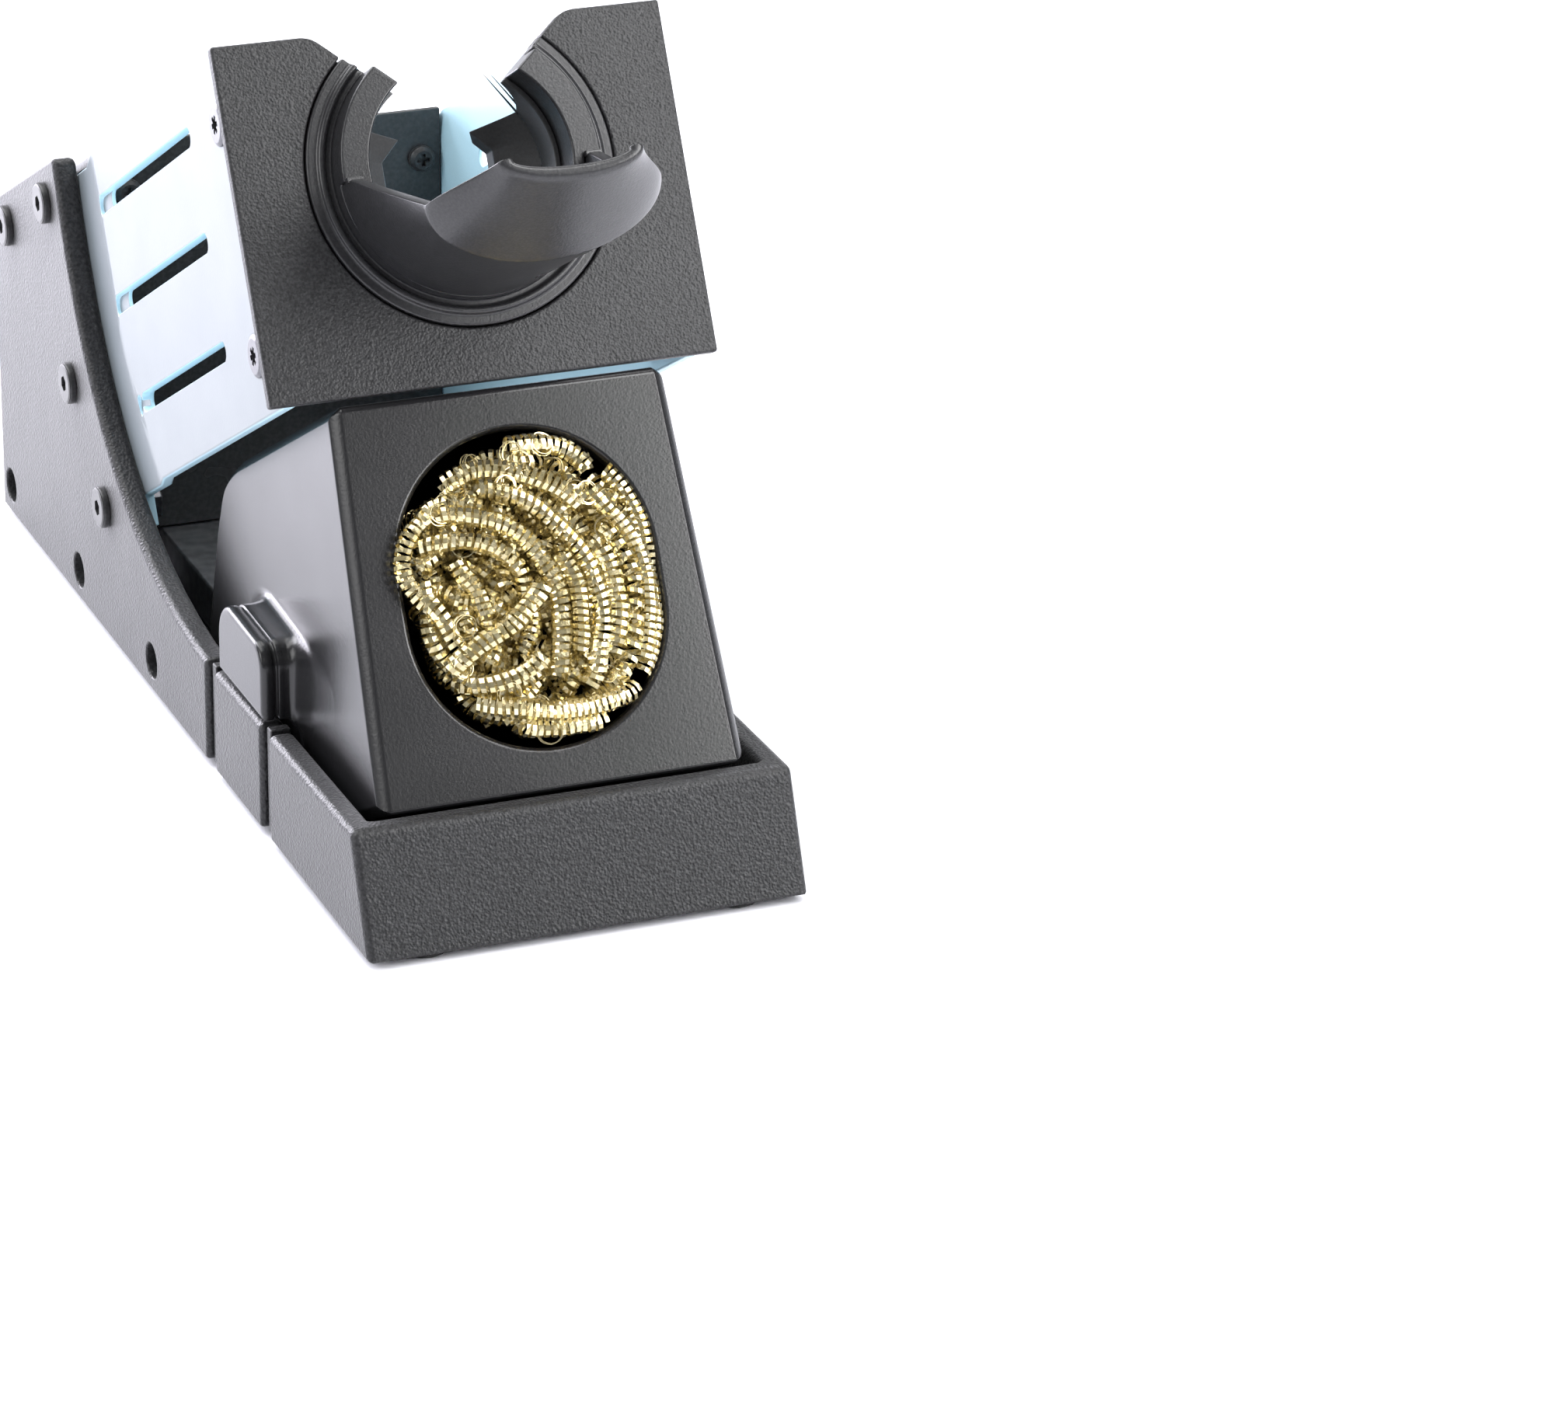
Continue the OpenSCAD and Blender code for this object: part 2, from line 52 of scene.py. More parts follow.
def front(x, y, z):
    """A point given by its distance back from the front edge and its height over the underside."""
    return Vector((x, y - BASE_HALF_D, z + FOOT_DROP)) * MM


FACE = front(0, FACE_Y, FACE_Z)


def face(x, v, h):
    """A point given across, up the sloping face and out of it."""
    return FACE + (Vector((x, 0, 0)) + UP * v + OUT * h) * MM


def face_place(p):
    """How far a point in the row frame lies up the sloping face and out of it, in millimetres."""
    return (p - FACE).dot(UP) / MM, (p - FACE).dot(OUT) / MM


def hole(x, v, h):
    return face(x, v + HOLE_V, h)


def side_view(p):
    """Distance back from the front edge and height, in millimetres, of a point in the row frame."""
    return p[1] / MM + BASE_HALF_D, p[2] / MM - FOOT_DROP


def mix(a, b, t):
    return a + (b - a) * t


# ---------------------------------------------------------------- materials
GLOSS_PATCH = 60     # scale of the slow change in gloss


def material(name):
    m = bpy.data.materials.new(name)
    m.use_nodes = True
    return m, m.node_tree, m.node_tree.nodes["Principled BSDF"]


def grained(name, dark, light, rough, grain, depth, strength, rough_swing=0.05, specular=0.5, sheen=0.0):
    """Moulded plastic: a pebbled grain in the bump, faint colour mottling and uneven gloss."""
    m, nt, b = material(name)
    new, link = nt.nodes.new, nt.links.new
    b.inputs["Specular IOR Level"].default_value = specular
    b.inputs["Sheen Weight"].default_value = sheen
    b.inputs["Sheen Roughness"].default_value = 0.35
    at = new("ShaderNodeTexCoord").outputs["Object"]
    cells = new("ShaderNodeTexVoronoi")
    cells.feature = "SMOOTH_F1"
    cells.inputs["Scale"].default_value = grain
    fine = new("ShaderNodeTexNoise")
    fine.inputs["Scale"].default_value = grain * 0.55
    fine.inputs["Detail"].default_value = 4
    both = new("ShaderNodeMath")
    both.operation = "ADD"
    link(at, cells.inputs["Vector"])
    link(at, fine.inputs["Vector"])
    link(cells.outputs["Distance"], both.inputs[0])
    link(fine.outputs["Fac"], both.inputs[1])
    bump = new("ShaderNodeBump")
    bump.inputs["Strength"].default_value = strength
    bump.inputs["Distance"].default_value = depth
    link(both.outputs[0], bump.inputs["Height"])
    link(bump.outputs["Normal"], b.inputs["Normal"])
    ramp = new("ShaderNodeValToRGB")
    ramp.color_ramp.elements[0].position = 0.35
    ramp.color_ramp.elements[0].color = (*dark, 1)
    ramp.color_ramp.elements[1].position = 0.68
    ramp.color_ramp.elements[1].color = (*light, 1)
    mottle = new("ShaderNodeTexNoise")
    mottle.inputs["Scale"].default_value = grain * 0.8
    mottle.inputs["Detail"].default_value = 2
    link(at, mottle.inputs["Vector"])
    link(mottle.outputs["Fac"], ramp.inputs["Fac"])
    link(ramp.outputs["Color"], b.inputs["Base Color"])
    broad = new("ShaderNodeTexNoise")
    broad.inputs["Scale"].default_value = GLOSS_PATCH
    broad.inputs["Detail"].default_value = 3
    link(at, broad.inputs["Vector"])
    span = new("ShaderNodeMapRange")
    span.inputs["To Min"].default_value = rough - rough_swing
    span.inputs["To Max"].default_value = rough + rough_swing
    link(broad.outputs["Fac"], span.inputs["Value"])
    link(span.outputs["Result"], b.inputs["Roughness"])
    return m


def metal(name, dark, light, rough, scale, bump_depth=0.0):
    """Metal with uneven colour and gloss, and a slightly rough surface if it has a bump depth."""
    m, nt, b = material(name)
    new, link = nt.nodes.new, nt.links.new
    b.inputs["Metallic"].default_value = 1.0
    at = new("ShaderNodeTexCoord").outputs["Object"]
    noise = new("ShaderNodeTexNoise")
    noise.inputs["Scale"].default_value = scale
    noise.inputs["Detail"].default_value = 3
    link(at, noise.inputs["Vector"])
    ramp = new("ShaderNodeValToRGB")
    ramp.color_ramp.elements[0].position = 0.3
    ramp.color_ramp.elements[0].color = (*dark, 1)
    ramp.color_ramp.elements[1].position = 0.7
    ramp.color_ramp.elements[1].color = (*light, 1)
    link(noise.outputs["Fac"], ramp.inputs["Fac"])
    link(ramp.outputs["Color"], b.inputs["Base Color"])
    span = new("ShaderNodeMapRange")
    span.inputs["To Min"].default_value = rough * 0.75
    span.inputs["To Max"].default_value = rough * 1.25
    link(noise.outputs["Fac"], span.inputs["Value"])
    link(span.outputs["Result"], b.inputs["Roughness"])
    if bump_depth:
        bump = new("ShaderNodeBump")
        bump.inputs["Strength"].default_value = 0.5
        bump.inputs["Distance"].default_value = bump_depth
        link(noise.outputs["Fac"], bump.inputs["Height"])
        link(bump.outputs["Normal"], b.inputs["Normal"])
    return m


M_SHELL = grained("shell_plastic", (0.010, 0.010, 0.011), (0.032, 0.032, 0.034), 0.42, 2100, 0.00015, 0.8,
                  specular=0.38, sheen=0.2)
M_PLATE = grained("plate_plastic", (0.011, 0.011, 0.012), (0.034, 0.034, 0.036), 0.46, 2300, 0.00014, 0.8,
                  specular=0.42)
M_HOLDER = grained("holder_plastic", (0.016, 0.016, 0.018), (0.027, 0.027, 0.029), 0.29, 2600, 0.00005, 0.35)
M_SLEEVE = grained("sleeve_plastic", (0.048, 0.048, 0.050), (0.060, 0.060, 0.062), 0.40, 2600, 0.00004, 0.30)
M_COVER = grained("cover_plastic", (0.028, 0.028, 0.029), (0.040, 0.040, 0.041), 0.26, 1500, 0.00003, 0.25)
M_TRAY = grained("tray_gloss", (0.009, 0.009, 0.010), (0.012, 0.012, 0.013), 0.26, 2400, 0.00004, 0.35,
                 rough_swing=0.03)
M_GUARD = grained("guard_blue", (0.53, 0.78, 0.89), (0.55, 0.80, 0.91), 0.36, 2600, 0.00003, 0.25)


def painted_light_outside(m, colour):
    """Painted light: the faces that look out to the sides get a darker, greyer colour than the blue of the inner and
    cut faces, set for how they look under the strong side light.
    """
    nt = m.node_tree
    new, link = nt.nodes.new, nt.links.new
    shader = nt.nodes["Principled BSDF"]
    deep = shader.inputs["Base Color"].links[0].from_socket
    parts = []
    for node, output in (("ShaderNodeNewGeometry", "Normal"), ("ShaderNodeNewGeometry", "Position")):
        split = new("ShaderNodeSeparateXYZ")
        link(new(node).outputs[output], split.inputs["Vector"])
        parts.append(split.outputs["X"])
    side = new("ShaderNodeMath")
    side.operation = "SIGN"
    link(parts[1], side.inputs[0])
    facing = new("ShaderNodeMath")
    facing.operation = "MULTIPLY"
    link(parts[0], facing.inputs[0])
    link(side.outputs[0], facing.inputs[1])
    span = new("ShaderNodeMapRange")
    span.inputs["From Min"].default_value = 0.55
    span.inputs["From Max"].default_value = 0.95
    link(facing.outputs[0], span.inputs["Value"])
    blend = new("ShaderNodeMix")
    blend.data_type = "RGBA"
    link(span.outputs["Result"], blend.inputs["Factor"])
    link(deep, blend.inputs["A"])
    blend.inputs["B"].default_value = (*colour, 1)
    link(blend.outputs["Result"], shader.inputs["Base Color"])


# painted light: the guard's outward faces get a darker grey-blue that stands in for the strong side light on them
painted_light_outside(M_GUARD, (0.166, 0.19, 0.206))
M_RUBBER = grained("foot_rubber", (0.010, 0.010, 0.010), (0.020, 0.020, 0.020), 0.75, 1200, 0.00006, 0.5)
M_ZINC = metal("zinc_plate", (0.60, 0.61, 0.64), (0.78, 0.78, 0.80), 0.26, 700, 0.00002)
M_STEEL = metal("dull_steel", (0.12, 0.12, 0.13), (0.19, 0.19, 0.20), 0.40, 900, 0.00002)
M_BLACKSCREW = grained("black_oxide", (0.016, 0.016, 0.017), (0.030, 0.030, 0.031), 0.38, 2400, 0.00004, 0.4,
                       sheen=0.2)
M_BALLAST = metal("cast_plate", (0.20, 0.20, 0.21), (0.30, 0.30, 0.31), 0.55, 500, 0.00008)
M_BRASS = metal("brass_ribbon", (0.66, 0.55, 0.27), (0.84, 0.75, 0.48), 0.24, 420)


# ---------------------------------------------------------------- mesh helpers
def add_object(name, mesh):
    obj = bpy.data.objects.new(name, mesh)
    bpy.context.scene.collection.objects.link(obj)
    return obj


def from_lists(name, verts, faces):
    mesh = bpy.data.meshes.new(name)
    mesh.from_pydata([tuple(v) for v in verts], [], faces)
    mesh.update()
    bm = bmesh.new()
    bm.from_mesh(mesh)
    bmesh.ops.recalc_face_normals(bm, faces=bm.faces)
    bm.to_mesh(mesh)
    bm.free()
    return add_object(name, mesh)


def loft(name, rings, caps=True):
    """A skin through closed rings of equal length."""
    n = len(rings[0])
    verts = [p for r in rings for p in r]
    faces = []
    for i in range(len(rings) - 1):
        for j in range(n):
            k = (j + 1) % n
            faces.append((i * n + j, i * n + k, (i + 1) * n + k, (i + 1) * n + j))
    if caps:
        faces.append(tuple(range(n)))
        faces.append(tuple((len(rings) - 1) * n + j for j in range(n)))
    return from_lists(name, verts, faces)


def settle(obj):
    """Applies an object's modifiers."""
    dg = bpy.context.evaluated_depsgraph_get()
    mesh = bpy.data.meshes.new_from_object(obj.evaluated_get(dg))
    obj.modifiers.clear()
    obj.data = mesh
    return obj


def combine(obj, tool, how):
    mod = obj.modifiers.new("cut", "BOOLEAN")
    mod.operation = how
    mod.solver = "EXACT"
    mod.object = tool
    bpy.context.view_layer.update()
    settle(obj)
    bpy.data.objects.remove(tool)
    return obj


def soften(obj, sharp=30):
    """Smooth shading with flat faces kept flat."""
    bm = bmesh.new()
    bm.from_mesh(obj.data)
    limit = math.radians(sharp)
    for f in bm.faces:
        f.smooth = True
    for e in bm.edges:
        e.smooth = not (len(e.link_faces) == 2 and e.calc_face_angle(0) > limit)
    bm.to_mesh(obj.data)
    bm.free()
    mod = obj.modifiers.new("normals", "WEIGHTED_NORMAL")
    mod.keep_sharp = True
    mod.weight = 60
    return obj


def dress(obj, body, slot, mat, *replaced):
    obj.data.materials.clear()
    obj.data.materials.append(mat)
    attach(obj, body)
    if replaced:
        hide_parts(*replaced)
    return obj


def refine(node, piece, body, slot, mat, width, rule=None, segments=3, sharp=27):
    """The node's own shape with its edges rounded. Rule gives each edge's share of the width, in millimetres."""
    bm = bmesh.new()
    bm.from_mesh(nodes[node].data)
    bmesh.ops.remove_doubles(bm, verts=bm.verts, dist=3e-6)
    bmesh.ops.dissolve_limit(bm, angle_limit=math.radians(0.6), verts=bm.verts, edges=bm.edges)
    weight = bm.edges.layers.float.new("bevel_weight_edge")
    limit = math.radians(sharp)
    for f in bm.faces:
        f.smooth = True
    for e in bm.edges:
        if len(e.link_faces) == 2 and e.calc_face_angle(0) > limit:
            middle = (e.verts[0].co + e.verts[1].co) / 2
            e[weight] = rule(middle, e.verts[1].co - e.verts[0].co) if rule else 1.0
            if e[weight] == 0:
                e.smooth = False
    mesh = bpy.data.meshes.new(piece)
    bm.to_mesh(mesh)
    bm.free()
    obj = add_object(piece, mesh)
    bevel = obj.modifiers.new("rounding", "BEVEL")
    bevel.limit_method = "WEIGHT"
    bevel.width = width * MM
    bevel.segments = segments
    bevel.use_clamp_overlap = False
    bevel.miter_outer = "MITER_ARC"
    normals = obj.modifiers.new("normals", "WEIGHTED_NORMAL")
    normals.keep_sharp = True
    normals.weight = 60
    return dress(obj, body, slot, mat, node)


# ---------------------------------------------------------------- base, cover, plate, guards, small parts
SLITS = (60.85, 95.0)
LIP_EDGE = (12.87, 22.4)                        # the lip's inner edge, in the side view
GUARD_SLOTS = (92, 112.8, 133)                  # up the sloping face
PLATE_SCREWS = ((87.5, -13), (131, -13))        # up the sloping face and out of it
WALL_SCREWS = ((201, 80.6), (186, 47), (164.2, 28.1), (230.3, 66.2))   # in the side view
COVER_SCREWS = ((31, 30), (31, 87.5))           # across and up


def base_rule(at, along):
    y, z = side_view(at)
    x = abs(at[0]) / MM
    if x > 37:
        for s in SLITS:
            if abs(y - s) < 2.3:
                return 0.22
            if abs(y - s) < 3.0:
                return 0.75
    if abs(y - LIP_EDGE[0]) < 0.5 and abs(z - LIP_EDGE[1]) < 0.5:
        return 0.3
    if along.length < 0.6 * MM:
        return 0.28
    if z < 1.0:
        return 0.45
    return 1.0


refine("base_shell", "base_tub", "stand", "dark_shell", M_SHELL, 1.5, base_rule, segments=4)
refine("rear_cover", "rear_panel", "stand", "dark_shell", M_COVER, 0.6,
       lambda at, along: 0.5 if along.length < 0.6 * MM else 1)


def plate_rule(at, along):
    # only the two upper corners of the notch are well rounded
    if abs(along.normalized().dot(OUT)) > 0.98 and abs(at[0]) < 30 * MM and (at - FACE).dot(UP) > 140 * MM:
        return 1.0
    return 0.22


refine("front_plate", "sloping_plate", "stand", "dark_shell", M_PLATE, 2.4, plate_rule, segments=4, sharp=20)


def guard_rule(at, along):
    """Little rounding at the slots and the inner tab, and none in the screw holes."""
    v, h = face_place(at)
    if -113 < h < -35 and min(abs(v - s) for s in GUARD_SLOTS) < 3.2 or v < 79 and h < -112:
        return 0.3
    if min(max(abs(v - a), abs(h - b)) for a, b in PLATE_SCREWS) < 2.6:
        return 0
    return 0.45 if along.length < 0.7 * MM else 1


def head_rule(centres, place, bare):
    """Rounds a screw head's rim but leaves the drive recess in its middle sharp."""
    return lambda at, along: 0 if min(math.dist(place(at), c) for c in centres) < bare else 1


for side in ("left", "right"):
    refine("guard_" + side, "heat_guard_" + side, "stand", "guard", M_GUARD, 0.55, guard_rule, sharp=24)
    for end in ("front", "rear"):
        refine(f"foot_{end}_{side}", f"rubber_foot_{end}_{side}", "stand", "foot", M_RUBBER, 0.5)
refine("wall_screws", "wall_screw_set", "stand", "black_screw", M_BLACKSCREW, 0.3,
       head_rule(WALL_SCREWS, side_view, 2.4))
refine("wall_nuts", "wall_nut_set", "stand", "zinc", M_STEEL, 0.2)
refine("plate_screws", "plate_screw_set", "stand", "zinc", M_STEEL, 0.16, head_rule(PLATE_SCREWS, face_place, 3.0))
refine("plate_nuts", "plate_nut_set", "stand", "zinc", M_STEEL, 0.2)
refine("cover_screws", "cover_screw_set", "stand", "black_screw", M_BLACKSCREW, 0.18,
       head_rule(COVER_SCREWS, lambda p: (abs(p[0]) / MM, side_view(p)[1]), 2.0))
refine("ballast_screws", "ballast_screw_set", "stand", "zinc", M_ZINC, 0.12,
       lambda at, along: 0 if along.length < 2.1 * MM else 1)
refine("ballast_plate", "ballast_slab", "stand", "ballast", M_BALLAST, 0.8)
refine("holder_ring", "collar_ring", "holder", "holder", M_HOLDER, 0.45, segments=3)
refine("holder_sleeve", "guide_sleeve", "holder", "sleeve", M_SLEEVE, 0.25)


# ---------------------------------------------------------------- the spoon-shaped rest
REACH, BEND = 62.0, 41.0


def rest_half(h):
    """Half the rest's width at a distance out from the plate; the next two give its lowest point and rim."""
    if h < BEND:
        return mix(24.9, 22.4, h / BEND)
    t = (h - BEND) / (REACH - BEND)
    return mix(22.4, 13.4, 0.5 * t + 0.5 * t * t * (3 - 2 * t))


def rest_low(h):
    return mix(-24.9, -24.6, h / BEND) if h < BEND else mix(-24.6, -13.8, (h - BEND) / (REACH - BEND))


def rest_rim(h):
    if h < BEND:
        return mix(-1.7, -13, max(0, h - 9) / (BEND - 9))
    return mix(-13, -9.5, (h - BEND) / (REACH - BEND))


# Across the rim: share of the wall's thickness, and height over its corners
RIM = [(0.03, 0.14), (0.12, 0.27), (0.5, 0.3), (0.88, 0.27), (0.97, 0.14)]


def eased(f, h, reach=0.4):
    return sum(f(min(REACH, h + reach * k / 4)) for k in range(-4, 5)) / 9


def rest_ring(h, pinch):
    """One section: the outer arc, a rounded rim, the inner arc and the other rim."""
    a, low, rim = eased(rest_half, h), eased(rest_low, h), eased(rest_rim, h)
    t, n = 2.6, 56
    ring = []

    def arc_point(theta, inset, lift=0.0):
        s, c = math.sin(theta), math.cos(theta)
        # the crease is a little nearer the plate at the bottom than at the rim
        shift = ((39 + 4.5 * (1 - s)) - BEND) * max(0, 1 - abs(h - BEND) / (REACH - BEND))
        return hole(-(a - inset) * c, rim + lift - (rim - low - inset) * s, h + shift)

    for i in range(n + 1):
        ring.append(arc_point(math.pi * i / n, pinch))
    for inset, lift in RIM:
        ring.append(arc_point(math.pi, mix(pinch, t - pinch, inset), lift))
    for i in range(n, -1, -1):
        ring.append(arc_point(math.pi * i / n, t - pinch))
    for inset, lift in RIM[::-1]:
        ring.append(arc_point(0, mix(pinch, t - pinch, inset), lift))
    return ring


def spoon_rest():
    heights = [4.2, 6, 8, 9, 11, 14, 18, 22, 26, 30, 33, 36, 38, 39.4, 40.2, 40.5, 40.8, 41, 41.2, 41.5, 41.9, 42.7,
               44.5, 46, 48, 50, 52, 54, 56, 58, 59.5, 60.6, 61.3]
    rings = [rest_ring(h, 0.0) for h in heights]
    rings += [rest_ring(61.6, 0.12), rest_ring(61.85, 0.4), rest_ring(61.97, 0.75), rest_ring(62.0, 1.1)]
    n = len(rings[0])
    verts = [p for r in rings for p in r]
    faces = []
    for i in range(len(rings) - 1):
        for j in range(n):
            k = (j + 1) % n
            faces.append((i * n + j, i * n + k, (i + 1) * n + k, (i + 1) * n + j))
    arc = 57                       # points on each arc of a ring
    inner = arc + 5                # where the inner arc starts
    for base in (0, (len(rings) - 1) * n):
        for j in range(arc - 1):
            faces.append((base + j, base + j + 1, base + inner + arc - 2 - j, base + inner + arc - 1 - j))
        faces.append((base + arc - 1, *[base + arc + k for k in range(5)], base + inner))
        faces.append((base + inner + arc - 1, *[base + inner + arc + k for k in range(5)], base))
    for sign in (-1, 1):
        first = len(verts)
        for x in (21.7, 24.7):
            for v, h in ((-1.9, 6.9), (-1.05, 6.9), (-0.9, 7.1), (-0.9, 8.2), (-1.1, 8.4), (-1.9, 8.4)):
                verts.append(hole(sign * x, v, h))
        faces += [tuple(first + k for k in range(6)), tuple(first + 6 + k for k in range(6))]
        faces += [(first + k, first + (k + 1) % 6, first + 6 + (k + 1) % 6, first + 6 + k) for k in range(6)]
    obj = from_lists("spoon_rest", verts, faces)
    return dress(soften(obj, 45), "holder", "holder", M_HOLDER, "holder_scoop")


spoon_rest()


# ---------------------------------------------------------------- the wool tray
SIDE = [(-0.6, 0), (74.8, 0), (74.8, -70), (72.6, -79), (64.4, -88), (39, -109), (0.3, -39)]


def tray_half(v):
    return mix(35.9, 32.7, v / 74.8)


def unit(p):
    d = math.hypot(*p)
    return p[0] / d, p[1] / d


def inset_polygon(points, d):
    """Moves each side of a polygon, listed clockwise in (v, h), inwards by d."""
    n, moved, lines = len(points), [], []
    for i in range(n):
        a, b = points[i], points[(i + 1) % n]
        u = unit((b[0] - a[0], b[1] - a[1]))
        inward = (u[1], -u[0])
        lines.append(((a[0] + inward[0] * d, a[1] + inward[1] * d), u))
    for i in range(n):
        (p, u), (q, w) = lines[i - 1], lines[i]
        det = u[0] * w[1] - u[1] * w[0]
        t = ((q[0] - p[0]) * w[1] - (q[1] - p[1]) * w[0]) / det
        moved.append((p[0] + u[0] * t, p[1] + u[1] * t))
    return moved


def rounded(points, radii, steps=7):
    """Corners turned into arcs."""
    n, out = len(points), []
    for i in range(n):
        a, b, c = points[i - 1], points[i], points[(i + 1) % n]
        u, w = unit((b[0] - a[0], b[1] - a[1])), unit((c[0] - b[0], c[1] - b[1]))
        turn = math.acos(max(-1, min(1, u[0] * w[0] + u[1] * w[1])))
        r = radii[i]
        cut = r * math.tan(turn / 2)
        n0, n1 = (-u[1], u[0]), (-w[1], w[0])
        start = (b[0] - u[0] * cut, b[1] - u[1] * cut)
        centre = (start[0] - n0[0] * r, start[1] - n0[1] * r)
        for k in range(steps + 1):
            t = k / steps
            m = unit((n0[0] * math.sin((1 - t) * turn) + n1[0] * math.sin(t * turn),
                      n0[1] * math.sin((1 - t) * turn) + n1[1] * math.sin(t * turn)))
            out.append((centre[0] + m[0] * r, centre[1] + m[1] * r))
    return out


def prism(name, points, radii, half, edge):
    """The side outline swept across, with a bevel of the given size along its two side edges."""
    levels = [(edge * (1 - math.sin(math.pi / 2 * k / 6) ** 1.6),
               edge * (1 - max(0.0, math.cos(math.pi / 2 * k / 6)) ** 1.6)) for k in range(7)] if edge else [(0, 0)]
    rings = []
    for sign in (-1, 1):
        for inset, back in (levels if sign < 0 else levels[::-1]):
            outline = rounded(inset_polygon(points, inset), [max(0.06, r - inset) for r in radii])
            rings.append([face(sign * (half(v) - back), v, h) for v, h in outline])
    return loft(name, rings)


MOUTH_R, MOUTH_V, MOUTH_GAP = 24.6, 37.0, 10.0
MOUTH_EDGE = 1.1     # rounding of the mouth's rim
SEAM = -88.0         # where the body ends and the back begins
WALL = 3.0


def oval_ring(r, h, steps=40):
    pts = []
    for s in (1, -1):
        for k in range(steps + 1):
            q = math.pi * k / steps
            pts.append(face(s * r * math.cos(q), MOUTH_V + s * (MOUTH_GAP / 2 + r * math.sin(q)), h))
    return pts


EAR_Y, EAR_Z0 = (61.5, 88.9), 22.9


def ear_outline(grow):
    """The side tab's outline in the side view, moved outwards: (distance back, height)."""
    pts = []
    (c1, r1), (c2, r2) = ((66.5, 32.6), 5.0), ((81.4, 30.5), 7.5)
    low = EAR_Z0 - min(grow, 16)
    for k in range(9):
        pts.append((EAR_Y[0] - grow, mix(low, c1[1], k / 9)))
    lean = math.atan2(c2[1] + r2 - c1[1] - r1, c2[0] - c1[0])
    for k in range(13):
        q = mix(math.pi, math.pi / 2 + lean, k / 12)
        pts.append((c1[0] + (r1 + grow) * math.cos(q), c1[1] + (r1 + grow) * math.sin(q)))
    for k in range(1, 17):
        q = mix(math.pi / 2 + lean, 0, k / 16)
        pts.append((c2[0] + (r2 + grow) * math.cos(q), c2[1] + (r2 + grow) * math.sin(q)))
    for k in range(1, 9):
        pts.append((EAR_Y[1] + grow, mix(c2[1], low, k / 8)))
    for k in range(1, 12):
        pts.append((mix(EAR_Y[1] + grow, EAR_Y[0] - grow, k / 12), low))
    return pts


# One row a ring, from the tab's outer face inwards: distance from the middle plane, growth of the outline,
# and how far the ring follows the tray's leaning side. The formula makes the hollow where the tab meets the side.
EAR_PROFILE = [(43.0, -1.3, 0), (42.95, -0.8, 0), (42.75, -0.35, 0), (42.4, -0.08, 0), (41.6, 0, 0), (40.9, 0, 0),
               (40.6, -0.15, 0), (40.4, -0.45, 0), (40.1, -0.5, 0), (39.8, -0.42, 0), (39.6, -0.1, 0), (39.3, 0.0, 0),
               (38.6, 0.0, 0)]
EAR_PROFILE += [(33.4 + 4.6 * (1 - k / 18) ** 2, 21 * (k / 18) ** 2, min(1, k / 11)) for k in range(1, 18)]
EAR_PROFILE += [(33.36, 21.6, 1), (31.6, 21.8, 1)]


def ear(sign):
    rings = []
    plain = ear_outline(0)
    for x, grow, follow in EAR_PROFILE:
        ring = []
        for (y, z), (y0, z0) in zip(ear_outline(grow), plain):
            if grow > 0:           # the hollow runs out far to the front and hardly at all upwards
                y = y0 + (y - y0) * (0.4 if y > y0 else 1)
                z = z0 + (z - z0) * (0.08 if z > z0 else 1)
            v = math.sin(TILT) * (y - FACE_Y) + math.cos(TILT) * (z - FACE_Z)
            ring.append(front(sign * mix(x, tray_half(v) + x - 33.4, follow), y, z))
        rings.append(ring)
    return loft("ear", rings)


def layer(name, low, high):
    """A large block that spans two distances out of the sloping face."""
    corners = [face(x, v, h) for x in (-60, 60) for v in (-30, 130) for h in (low, high)]
    faces = [(0, 1, 3, 2), (4, 6, 7, 5), (0, 4, 5, 1), (2, 3, 7, 6), (0, 2, 6, 4), (1, 5, 7, 3)]
    return from_lists(name, corners, faces)


def tray():
    body = prism("drawer_body", SIDE, [0.8, 1.6, 40, 14, 60, 5, 1.5], tray_half, 2.3)
    for sign in (-1, 1):
        combine(body, ear(sign), "UNION")
    combine(body, prism("cavity", inset_polygon(SIDE, WALL), [1.5, 1.5, 34, 11, 50, 3, 1.5],
                        lambda v: tray_half(v) - WALL, 0), "DIFFERENCE")
    mouth = [oval_ring(MOUTH_R, -8)]
    for k in range(7):
        q = math.pi / 2 * k / 6
        mouth.append(oval_ring(MOUTH_R + MOUTH_EDGE * (1 - math.cos(q)), -MOUTH_EDGE * (1 - math.sin(q))))
    mouth.append(oval_ring(MOUTH_R + MOUTH_EDGE, 3))
    combine(body, loft("mouth", mouth), "DIFFERENCE")
    rear = add_object("drawer_back", body.data.copy())
    combine(body, layer("keep", SEAM, 40), "INTERSECT")
    combine(rear, layer("keep", -140, SEAM - 0.1), "INTERSECT")
    dress(soften(body, 34), "tray", "tray", M_TRAY, "tray_body")
    dress(soften(rear, 34), "tray", "tray", M_TRAY, "tray_back")


tray()


# ---------------------------------------------------------------- brass wool
WOOL_R = 24.2


def dome(x, q):
    """Height of the wool's surface over the mouth's plane at a place in the mouth, and how near the rim it is."""
    d = math.hypot(x, max(abs(q) - MOUTH_GAP / 2, 0)) / WOOL_R
    return 9.6 * math.sqrt(max(0.0, 1 - 0.93 * min(d, 1) ** 2.6)) - 1.2, d


COIL = 2.0

